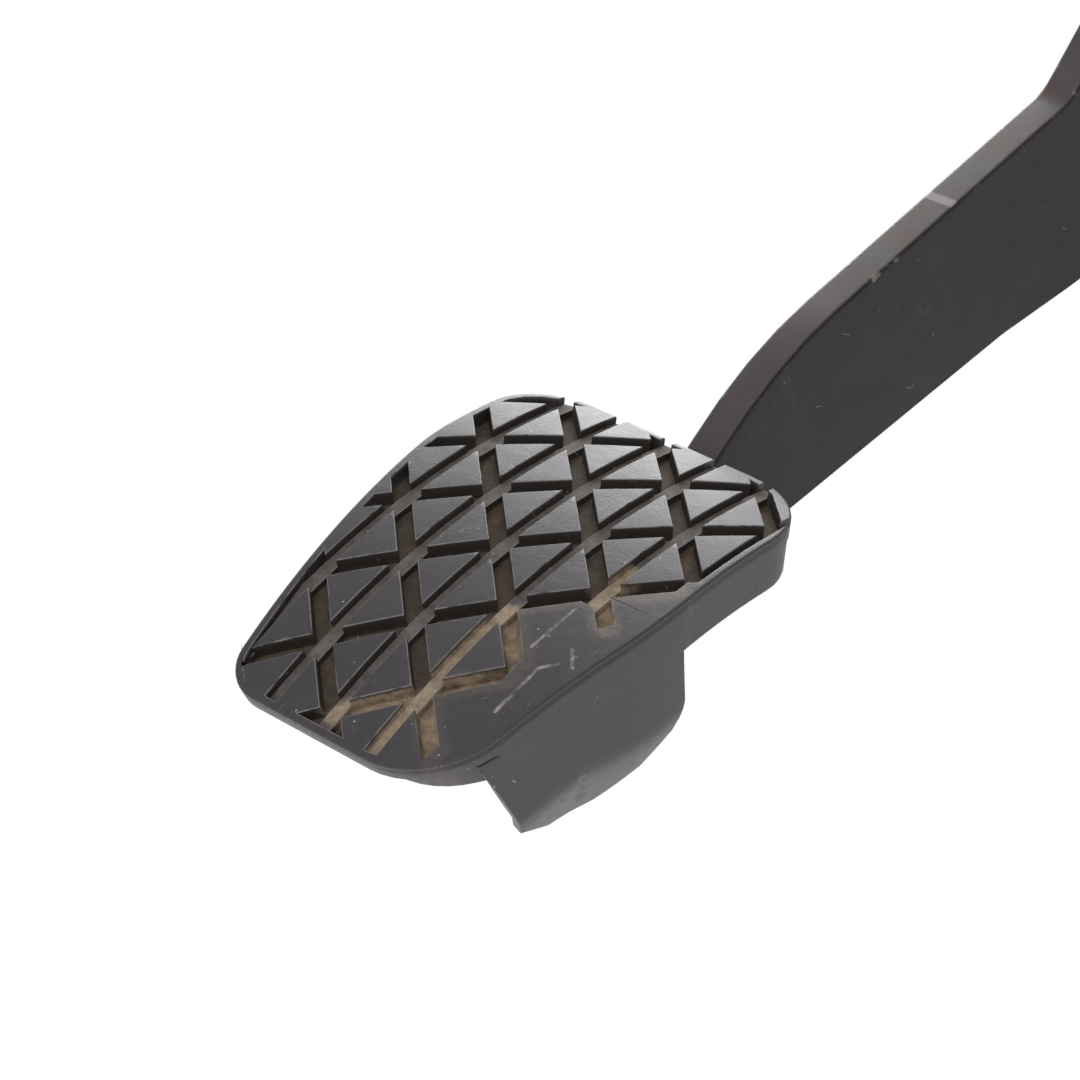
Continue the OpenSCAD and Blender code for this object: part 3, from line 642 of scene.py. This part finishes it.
def pad_body(settings):
    """Bead, skirt, plate pocket and lip of the pad, still flat."""
    body = pad_blank("pedal_pad_rubber", 0, 0, -3)
    pick(body, "faces", lambda f: f.normal.z < -0.9)
    bpy.ops.mesh.inset(thickness=settings.bead)
    mesh = bmesh.from_edit_mesh(body.data)
    under = [v for v in mesh.verts if v.select]
    tuck(under, settings.tuck)
    for vertex in under:
        vertex.co.x += 0.0004 * min(1, max(0, vertex.co.x / 0.012))
    bmesh.update_edit_mesh(body.data)
    extrude(z=0.003 - settings.skirt)
    pick(body, "edges", lambda e: convex(e, 60) and all(v.co.z > -1e-6 for v in e.verts))
    bpy.ops.mesh.bevel(offset=settings.rim_round, segments=3, profile=0.5)
    pick(body, "edges", lambda e: convex(e, 60) and all(abs(v.co.z + 0.003) < 1e-6 for v in e.verts))
    bpy.ops.mesh.bevel(offset=0.0002, segments=2)
    pick(body, "edges", lambda e: convex(e, 60) and all(v.co.z < -0.0085 for v in e.verts))
    bpy.ops.mesh.bevel(offset=0.0008, segments=3)
    bpy.ops.object.mode_set(mode="OBJECT")
    bead = settings.bead * 1000
    for inset, top, bottom in ((3 + bead, -4.5, -7.1), (5.5 + bead, -4.6, -12)):
        pocket = pad_blank("pocket", inset, top, bottom)
        bpy.ops.object.mode_set(mode="OBJECT")
        tuck(pocket.data.vertices, settings.tuck)
        combine(body, pocket, "DIFFERENCE")
    put_down()
    bpy.ops.mesh.primitive_cube_add(size=1, location=(0, 0.0215, -0.0125))
    notch = bpy.context.object
    edit(notch)
    bpy.ops.transform.resize(value=(0.0066, 0.022, 0.011), center_override=(0, 0.0215, -0.0125))
    bpy.ops.object.mode_set(mode="OBJECT")
    combine(body, notch, "DIFFERENCE")
    return body


def bent(x, v, h, crown):
    """Point of the bent pad, from its place on the flat one, in metres."""
    return Vector((x, (crown + h) * sin(v / crown), (crown + h) * cos(v / crown) - crown))


# Side view of the flap, y up the tread and z out of it, in millimetres: its fold and its cut outline
FLAP_FOLD = [(-50, -27.5), (-40.7, -25.8), (-30, -21.9), (-17.6, -21.4), (-8, -19.5)]
FLAP_OUTLINE = [(-46.8, -16.6), (-40, -29.5), (-33, -32.6), (-25, -31.8), (-17, -29), (-12, -24.5), (-11.4, -19), (-12.4, -8)]


def fold_height(y):
    for (y1, z1), (y2, z2) in zip(FLAP_FOLD, FLAP_FOLD[1:]):
        if y <= y2 or y2 == FLAP_FOLD[-1][0]:
            return z1 + (z2 - z1) * (y - y1) / (y2 - y1)


def side_flap(settings):
    """Wall that hangs from the skirt on the right, with its lower edge turned in and cut to an arc."""
    flap = pad_blank("side_flap", settings.bead * 1000 + 0.04, -4, -5)
    pick(flap, "faces", lambda f: abs(f.normal.z) > 0.5)
    bpy.ops.mesh.delete(type="FACE")
    low, high = -0.0535, -0.0082
    bpy.ops.mesh.select_all(action="SELECT")
    slice_plane((0.01, 0, 0), (1, 0, 0), clear_inner=True)
    for height, side in ((low, "clear_inner"), (high, "clear_outer")):
        bpy.ops.mesh.select_all(action="SELECT")
        slice_plane((0, height, 0), (0, 1, 0), **{side: True})
    for k in range(1, 18):
        bpy.ops.mesh.select_all(action="SELECT")
        slice_plane((0, low + (high - low) * k / 18, 0), (0, 1, 0))
    pick(flap, "edges", lambda e: e.is_boundary and all(v.co.z < -0.0045 for v in e.verts))
    for vertex in bmesh.from_edit_mesh(flap.data).verts:
        vertex.co = bent(*vertex.co, settings.crown)
    bmesh.update_edit_mesh(flap.data)
    for step, angle in ((None, 0), (0.0015, 6), (0.0015, 15), (0.0025, 22), (0.004, 24), (0.008, 24)):
        extrude(z=-0.0001)
        for vertex in bmesh.from_edit_mesh(flap.data).verts:
            if vertex.select:
                if step is None:
                    vertex.co.z = fold_height(vertex.co.y * 1000) / 1000 + 0.0015
                else:
                    vertex.co.z += 0.0001 - step * cos(radians(angle))
                    vertex.co.x -= step * sin(radians(angle))
        bmesh.update_edit_mesh(flap.data)
    for (y1, z1), (y2, z2) in zip(FLAP_OUTLINE, FLAP_OUTLINE[1:]):
        bpy.ops.mesh.select_all(action="SELECT")
        slice_plane((0, y1 / 1000, z1 / 1000), (0, z1 - z2, y2 - y1), clear_inner=True)
    bpy.ops.mesh.select_all(action="SELECT")
    bpy.ops.mesh.normals_make_consistent(inside=False)
    bpy.ops.object.mode_set(mode="OBJECT")
    if sum(f.normal.x for f in flap.data.polygons) < 0:
        edit(flap)
        bpy.ops.mesh.flip_normals()
        bpy.ops.object.mode_set(mode="OBJECT")
    take(flap)
    wall = flap.modifiers.new("wall", "SOLIDIFY")
    wall.thickness = settings.flap_thick
    wall.offset = -1
    bpy.ops.object.modifier_apply(modifier=wall.name)
    edit(flap)
    pick(flap, "edges", lambda e: convex(e, 60))
    bpy.ops.mesh.bevel(offset=0.00025, segments=2, clamp_overlap=False)
    bpy.ops.object.mode_set(mode="OBJECT")
    return flap


class PadSettings(bpy.types.PropertyGroup):
    lean: FloatProperty(name="Tread lean", description="Backward lean of the tread face at rest",
                        default=radians(38), min=0.3, max=0.9, unit="ROTATION")
    above: FloatProperty(name="Pivot above tread", description="Distance from the tread's middle up to the pivot",
                         default=0.2565, min=0.2, max=0.3, unit="LENGTH")
    out: FloatProperty(name="Pivot out of tread", description="Distance of the pivot out from the tread plane",
                       default=0.0305, min=0.02, max=0.04, unit="LENGTH")
    crown: FloatProperty(name="Crown", description="Radius that the tread is bent to",
                         default=0.125, min=0.09, max=0.2, unit="LENGTH")
    skirt: FloatProperty(name="Skirt", description="Depth of the skirt below the tread",
                         default=0.009, min=0.006, max=0.014, unit="LENGTH")
    bead: FloatProperty(name="Bead", description="Overhang of the bead round the top of the skirt",
                        default=0.0005, min=0.0001, max=0.001, unit="LENGTH")
    tuck: FloatProperty(name="Tuck", description="Distance that the skirt's bottom end lies back under the bead",
                        default=0.0025, min=0.0, max=0.003, unit="LENGTH")
    rim: FloatProperty(name="Rim", description="Plain rim beside the tread pattern",
                       default=0.0013, min=0.0008, max=0.004, unit="LENGTH")
    rim_round: FloatProperty(name="Rim rounding", description="Rounding of the rim's edge",
                             default=0.0005, min=0.0002, max=0.0007, unit="LENGTH")
    groove_pitch: FloatProperty(name="Groove pitch", description="Distance between upright grooves",
                                default=0.0095, min=0.007, max=0.012, unit="LENGTH")
    groove_row: FloatProperty(name="Groove row", description="Distance between rows of the lattice along the tread",
                              default=0.00928, min=0.007, max=0.012, unit="LENGTH")
    groove_shift: FloatProperty(name="Groove shift", description="Sideways place of the lattice",
                                default=-0.0019, min=-0.005, max=0.005, unit="LENGTH")
    diagonal_width: FloatProperty(name="Diagonal width", description="Width of the diagonal grooves",
                                  default=0.0027, min=0.001, max=0.004, unit="LENGTH")
    diagonal_depth: FloatProperty(name="Diagonal depth", description="Depth of the diagonal grooves",
                                  default=0.0025, min=0.001, max=0.003, unit="LENGTH")
    upright_width: FloatProperty(name="Upright width", description="Width of the upright grooves",
                                 default=0.0022, min=0.001, max=0.004, unit="LENGTH")
    upright_depth: FloatProperty(name="Upright depth", description="Depth of the upright grooves",
                                 default=0.0013, min=0.0005, max=0.002, unit="LENGTH")
    stud_round: FloatProperty(name="Stud rounding", description="Rounding of the studs' worn edges",
                              default=0.00014, min=0.00005, max=0.0006, unit="LENGTH")
    flap_thick: FloatProperty(name="Flap", description="Thickness of the side flap",
                              default=0.002, min=0.001, max=0.003, unit="LENGTH")


class FinishSettings(bpy.types.PropertyGroup):
    rubber: FloatVectorProperty(name="Rubber", description="Colour of the pad's stud tops", subtype="COLOR",
                                size=3, default=(0.047, 0.0425, 0.0495), min=0, max=1)
    # Groove: colour of the painted shade on the groove walls and in the band under the rim, also mixed into patchy
    # groove floors
    groove: FloatVectorProperty(name="Groove", description="Colour of the groove walls", subtype="COLOR",
                                size=3, default=(0.034, 0.029, 0.0255), min=0, max=1)
    dust: FloatVectorProperty(name="Dust", description="Colour of the shallow groove floors", subtype="COLOR",
                              size=3, default=(0.17, 0.152, 0.14), min=0, max=1)
    silt: FloatVectorProperty(name="Silt", description="Colour of the deep groove floors", subtype="COLOR",
                              size=3, default=(0.12, 0.092, 0.07), min=0, max=1)
    skirt: FloatVectorProperty(name="Skirt", description="Colour of the skirt and the flap", subtype="COLOR",
                               size=3, default=(0.092, 0.084, 0.09), min=0, max=1)
    rubber_rough: FloatProperty(name="Rubber roughness", description="Roughness of the stud tops",
                                default=0.4, min=0, max=1)
    dirt: FloatVectorProperty(name="Dirt", description="Colour of the dirt ground into the tread", subtype="COLOR",
                              size=3, default=(0.45, 0.345, 0.24), min=0, max=1)
    arm_paint: FloatVectorProperty(name="Arm paint", description="Colour of the arm's paint", subtype="COLOR",
                                   size=3, default=(0.013, 0.0105, 0.0102), min=0, max=1)
    bracket_paint: FloatVectorProperty(name="Bracket paint", description="Colour of the bracket's paint",
                                       subtype="COLOR", size=3, default=(0.03, 0.03, 0.032), min=0, max=1)
    nick: FloatProperty(name="Nick", description="Distance of the bright nick in the arm's front above the tread's middle",
                        default=0.0868, min=0.05, max=0.12, unit="LENGTH")
    worn_steel: FloatVectorProperty(name="Worn steel", description="Colour of steel where the paint is rubbed off",
                                    subtype="COLOR", size=3, default=(0.2, 0.185, 0.175), min=0, max=1)
    edge_round: FloatProperty(name="Edge rounding", description="Rounding of pressed and cut steel edges",
                              default=0.0005, min=0.0001, max=0.0015, unit="LENGTH")


class StageSettings(bpy.types.PropertyGroup):
    lens: FloatProperty(name="Lens", description="Focal length on a 36 mm sensor", default=110.17,
                        min=20, max=300, unit="CAMERA")
    floor_drop: FloatProperty(name="Floor", description="Distance of the floor below the fixing holes",
                              default=0.45, min=0.25, max=1, unit="LENGTH")
    key_power: FloatProperty(name="Overhead light", description="Power of the large overhead softbox",
                             default=22.0, min=0, max=200, unit="POWER")
    fill_power: FloatProperty(name="Front light", description="Power of the soft front light",
                              default=5.0, min=0, max=200, unit="POWER")
    sky: FloatProperty(name="Room light", description="Strength of the even light from all round",
                       default=0.45, min=0, max=1)


def pad_matrix(settings):
    """From the tread's own frame to the row frame, in metres."""
    return (Matrix.Translation(PIVOT) @ Matrix.Rotation(pi / 2 - settings.lean, 4, "X")
            @ Matrix.Translation((0, -settings.above, -settings.out)))


def settle(obj, node, rides=True):
    """Hides the CAD node that a finished piece stands for, and hangs the piece on its body if it rides on one."""
    put_down()
    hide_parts(node)
    if rides:
        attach(obj, BODY_OF[node])


def smooth(obj, angle=35):
    take(obj)
    bpy.ops.object.shade_smooth_by_angle(angle=radians(angle))
    flat_faces = obj.modifiers.new("flat faces", "WEIGHTED_NORMAL")
    flat_faces.weight = 90
    flat_faces.keep_sharp = True
    bpy.ops.object.modifier_apply(modifier=flat_faces.name)


def corner_colours(obj, colour, name="finish"):
    """Writes a colour on every face corner, from a function of the face and the corner's place."""
    mesh = obj.data
    layer = mesh.color_attributes.new(name=name, type="FLOAT_COLOR", domain="CORNER")
    for face in mesh.polygons:
        for loop in face.loop_indices:
            layer.data[loop].color = colour(face, mesh.vertices[mesh.loops[loop].vertex_index].co)


def dressed(node, material, bevel, angle=40, segments=2, front=None, rides=True):
    """Merged copy of a CAD node with rounded edges, marked for wear on them and, where asked, on the front faces for
    rust, a nick and a painted lighter tone.
    """
    source = frame["nodes"][node]
    obj = source.copy()
    obj.data = source.data.copy()
    obj.name = node + "_finish"
    obj.parent = None
    for key in list(obj.keys()):
        del obj[key]
    bpy.context.scene.collection.objects.link(obj)
    obj.data.materials.clear()
    obj.data.materials.append(material)
    obj.data.materials.append(material)
    edit(obj)
    bpy.ops.mesh.remove_doubles(threshold=4e-5)
    bpy.ops.mesh.dissolve_degenerate(threshold=1e-5)
    if bevel and pick(obj, "edges", lambda e: convex(e, angle)):
        bpy.ops.mesh.bevel(offset=bevel, segments=segments, profile=0.5, material=1, clamp_overlap=False, loop_slide=False)
    bpy.ops.object.mode_set(mode="OBJECT")
    corner_colours(obj, lambda face, co: (float(face.material_index == 1), float(bool(front and front(face))), 0, 1))
    for face in obj.data.polygons:
        face.material_index = 0
    obj.data.materials.pop()
    smooth(obj)
    settle(obj, node, rides)
    return obj


class PEDAL_OT_pad(bpy.types.Operator):
    """Models the rubber pad with its worn lattice tread, skirt and side flap"""
    bl_idname = "pedal.pad"
    bl_label = "Rubber pad"

    def execute(self, context):
        settings = context.scene.pedal_pad
        rubber = worn_rubber(context.scene.pedal_finish)
        pad = pad_body(settings)
        combine(pad, groove_cutter(settings), "DIFFERENCE")
        tidy(pad, 8e-5, 0.3)
        pad.data.materials.clear()
        pad.data.materials.append(rubber)
        pad.data.materials.append(rubber)
        for face in pad.data.polygons:
            face.material_index = 0
        edit(pad)
        heights = (0, -settings.upright_depth)
        if not pick(pad, "edges", lambda e: convex(e, 50) and e.calc_length() > 2e-4
                    and any(all(abs(v.co.z - h) < 2e-5 for v in e.verts) for h in heights)):
            raise RuntimeError("the tread has no stud edges to round")
        bpy.ops.mesh.bevel(offset=settings.stud_round, segments=2, profile=0.5, material=1, clamp_overlap=False)
        for k in range(-28, 12):
            bpy.ops.mesh.select_all(action="SELECT")
            slice_plane((0, k * 0.0023 + 0.0001, 0), (0, 1, 0))
        bpy.ops.object.mode_set(mode="OBJECT")
        rim_line = outline(settings.rim * 1000)

        def marks(face, co):
            centre = face.center * 1000
            side = face.center.z < -0.0026 or (abs(face.normal.z) < 0.4 and not inside(centre, rim_line))
            depth = min(1, max(0, -co.z / 0.003))
            floor = face.normal.z > 0.9 and face.center.z < -0.0005
            return (depth, float(face.material_index == 1), float(side), float(floor))

        corner_colours(pad, marks)
        flat = pad.data.uv_layers.new(name="flat")
        for face in pad.data.polygons:
            for loop in face.loop_indices:
                co = pad.data.vertices[pad.data.loops[loop].vertex_index].co
                flat.data[loop].uv = (co.x * 10, co.y * 10)
            face.material_index = 0
        for vertex in pad.data.vertices:
            vertex.co = bent(*vertex.co, settings.crown)
        flap = side_flap(settings)
        flap.data.materials.append(rubber)
        # Flap marks: fully below, side, no floor; the green mark, which is pale wear on the tread, here paints a
        # highlight that grows over the turned-in edge below the fold
        corner_colours(flap, lambda face, co: (
            1, min(0.8, max(0, (fold_height(co.y * 1000) - co.z * 1000) / 6)), 1, 0))
        flap.data.uv_layers.new(name="flat")
        take(pad)
        flap.select_set(True)
        bpy.ops.object.join()
        pad.data.materials.pop()
        pad.data.transform(pad_matrix(settings))
        smooth(pad, 32)
        settle(pad, "pedal_pad")
        return {"FINISHED"}


class PEDAL_OT_lever(bpy.types.Operator):
    """Finishes the arm, the plate under the rubber, the welds, the pivot tube and the bushes"""
    bl_idname = "pedal.lever"
    bl_label = "Lever"

    def execute(self, context):
        finish = context.scene.pedal_finish
        place = pad_matrix(context.scene.pedal_pad)
        turn = place.to_3x3().inverted()
        up = place.to_3x3() @ Vector((0, 1, 0))
        nick = (up, up.dot(place @ Vector((0, finish.nick, 0))))
        paint = painted_steel("arm paint", finish.arm_paint, finish, rust_and_lit_front=0.55, worn=0.42, rough=0.36, shine=0.16, nick=nick)
        weld = painted_steel("painted weld", (0.03, 0.026, 0.025), finish, rust_and_lit_front=0.4, worn=0.3, rough=0.5)
        plate = painted_steel("plate paint", (0.035, 0.033, 0.032), finish, rust_and_lit_front=0.3, worn=0.4, rough=0.45)
        nylon = moulded_plastic("natural nylon", (0.62, 0.58, 0.48), 0.35)
        brass = plated_steel("turned brass", (0.62, 0.44, 0.18), 0.22)

        # Faces towards the driver: they take rust tints, the nick and a painted lighter tone for the light on the front
        # edge
        def front(face):
            normal = turn @ face.normal
            return abs(normal.x) < 0.6 and normal.z > 0.2

        dressed("pedal_arm", paint, 0.0007, segments=3, front=front)
        dressed("pivot_tube", paint, 0.0005)
        dressed("pedal_plate", plate, 0.0004)
        dressed("weld_beads", weld, 0.0006)
        dressed("bush_left", nylon, 0.0003)
        dressed("bush_right", nylon, 0.0003)
        dressed("pushrod_bush", brass, 0.0003)
        return {"FINISHED"}


class PEDAL_OT_pivot(bpy.types.Operator):
    """Finishes the sleeve, bolt, washers and nut of the pivot"""
    bl_idname = "pedal.pivot"
    bl_label = "Pivot bolt"

    def execute(self, context):
        zinc = plated_steel("zinc plate", (0.6, 0.6, 0.61), 0.22)
        for node in ("spacer_sleeve", "pivot_bolt", "head_washer", "nut_washer", "pivot_nut"):
            dressed(node, zinc, 0.0004)
        return {"FINISHED"}


class PEDAL_OT_bracket(bpy.types.Operator):
    """Finishes the bracket's cheeks and base, the stop bar and its rubber cushion"""
    bl_idname = "pedal.bracket"
    bl_label = "Bracket"

    def execute(self, context):
        finish = context.scene.pedal_finish
        paint = painted_steel("bracket paint", finish.bracket_paint, finish, worn=0.45, rough=0.36)
        rubber = moulded_plastic("cushion rubber", (0.028, 0.027, 0.028), 0.55)
        for node in ("bracket_left_cheek", "bracket_right_cheek", "bracket_base", "stop_bar"):
            dressed(node, paint, finish.edge_round)
        dressed("stop_cushion", rubber, 0.0008, segments=3)
        return {"FINISHED"}


class PEDAL_OT_spring(bpy.types.Operator):
    """Finishes the return spring and the rod that it hangs from"""
    bl_idname = "pedal.spring"
    bl_label = "Return spring"

    def execute(self, context):
        zinc = plated_steel("rod plate", (0.5, 0.5, 0.52), 0.28)
        wire = plated_steel("drawn wire", (0.42, 0.42, 0.43), 0.24)
        dressed("spring_rod", zinc, 0.0005)
        spring = dressed("return_spring", wire, 0, rides=False)
        take(spring)
        rounder = spring.modifiers.new("round", "SUBSURF")
        rounder.levels = rounder.render_levels = 1
        bpy.ops.object.modifier_apply(modifier=rounder.name)
        bpy.ops.object.shade_smooth()
        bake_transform(spring)
        return {"FINISHED"}


class PEDAL_OT_stage(bpy.types.Operator):
    """Sets the camera at the photograph's place, with a pale floor, a softbox overhead and a soft front light"""
    bl_idname = "pedal.stage"
    bl_label = "Stage"

    def execute(self, context):
        scene = context.scene
        settings = scene.pedal_stage
        place = pad_matrix(scene.pedal_pad)
        scene.view_settings.view_transform = "Standard"

        # Camera, solved from the photograph in the tread's frame
        back = -Vector((-0.543, 0.641, -0.543)).normalized()
        right = Vector((-0.362, 0.405, 0.84)).cross(back).normalized()
        axes = Matrix((right, back.cross(right), back)).transposed().to_4x4()
        bpy.ops.object.camera_add()
        camera = bpy.context.object
        camera.matrix_world = place @ Matrix.Translation((0.2597, -0.31825, 0.2564)) @ axes
        camera.data.lens = settings.lens
        camera.data.sensor_width = 36
        camera.data.clip_start = 0.01
        scene.camera = camera

        put_down()
        bpy.ops.mesh.primitive_plane_add(size=3, location=(0, 0, -settings.floor_drop))
        floor = bpy.context.object
        floor.name = "floor"
        material, shader, where, t = new_material("pale floor")
        tone = t.add("TexNoise", Vector=where, Scale=3.0, Detail=3.0)
        t.set(shader, "Base Color", t.mix(tone.outputs[0], (0.8, 0.8, 0.8, 1), (0.86, 0.86, 0.86, 1)))
        shader.inputs["Roughness"].default_value = 0.9
        floor.data.materials.append(material)

        aim = place @ Vector((0, 0.02, 0))
        for name, direction, distance, size, power in (
            ("overhead softbox", (-0.52, 0.34, 0.78), 1.1, 0.8, settings.key_power),
            ("front light", (0.35, -0.9, -0.1), 1.2, 0.8, settings.fill_power),
        ):
            put_down()
            spot = aim + Vector(direction).normalized() * distance
            bpy.ops.object.light_add(type="AREA", location=spot)
            light = bpy.context.object
            light.name = name
            light.data.size = size
            light.data.energy = power
            light.rotation_euler = (aim - spot).to_track_quat("-Z", "Y").to_euler()

        world = bpy.data.worlds.new("white room")
        scene.world = world
        world.use_nodes = True
        w = Tree(world.node_tree)
        path = w.add("LightPath")
        seen = w.math("MAXIMUM", path.outputs["Is Camera Ray"],
                      w.math("MAXIMUM", path.outputs["Is Glossy Ray"], path.outputs["Is Transmission Ray"]))
        ground = world.node_tree.nodes["Background"]
        w.set(ground, "Color", (1, 1, 1, 1))
        w.set(ground, "Strength", w.math("ADD", settings.sky, w.math("MULTIPLY", seen, 1 - settings.sky)))
        return {"FINISHED"}


class PEDAL_PT_panel(bpy.types.Panel):
    """Sizes and colours of the pedal, and a button for each group of pieces"""
    bl_idname = "PEDAL_PT_panel"
    bl_label = "Brake pedal"
    bl_space_type = "VIEW_3D"
    bl_region_type = "UI"
    bl_category = "Pedal"

    def draw(self, context):
        for group in (context.scene.pedal_pad, context.scene.pedal_finish, context.scene.pedal_stage):
            box = self.layout.box()
            for key in group.__annotations__:
                box.prop(group, key)
        for operator in OPERATORS:
            self.layout.operator(operator.bl_idname)


SETTINGS = {"pedal_pad": PadSettings, "pedal_finish": FinishSettings, "pedal_stage": StageSettings}
OPERATORS = (PEDAL_OT_stage, PEDAL_OT_pad, PEDAL_OT_lever, PEDAL_OT_pivot, PEDAL_OT_bracket, PEDAL_OT_spring)


def register():
    for cls in (*SETTINGS.values(), *OPERATORS, PEDAL_PT_panel):
        bpy.utils.register_class(cls)
    for name, cls in SETTINGS.items():
        setattr(bpy.types.Scene, name, PointerProperty(type=cls))


def unregister():
    for name in SETTINGS:
        delattr(bpy.types.Scene, name)
    for cls in (PEDAL_PT_panel, *reversed(OPERATORS), *reversed(tuple(SETTINGS.values()))):
        bpy.utils.unregister_class(cls)


def main():
    register()
    put_down()
    bpy.ops.pedal.stage()
    bpy.ops.pedal.pad()
    bpy.ops.pedal.lever()
    bpy.ops.pedal.pivot()
    bpy.ops.pedal.bracket()
    bpy.ops.pedal.spring()
    put_down()


if __name__ == "__main__":
    main()
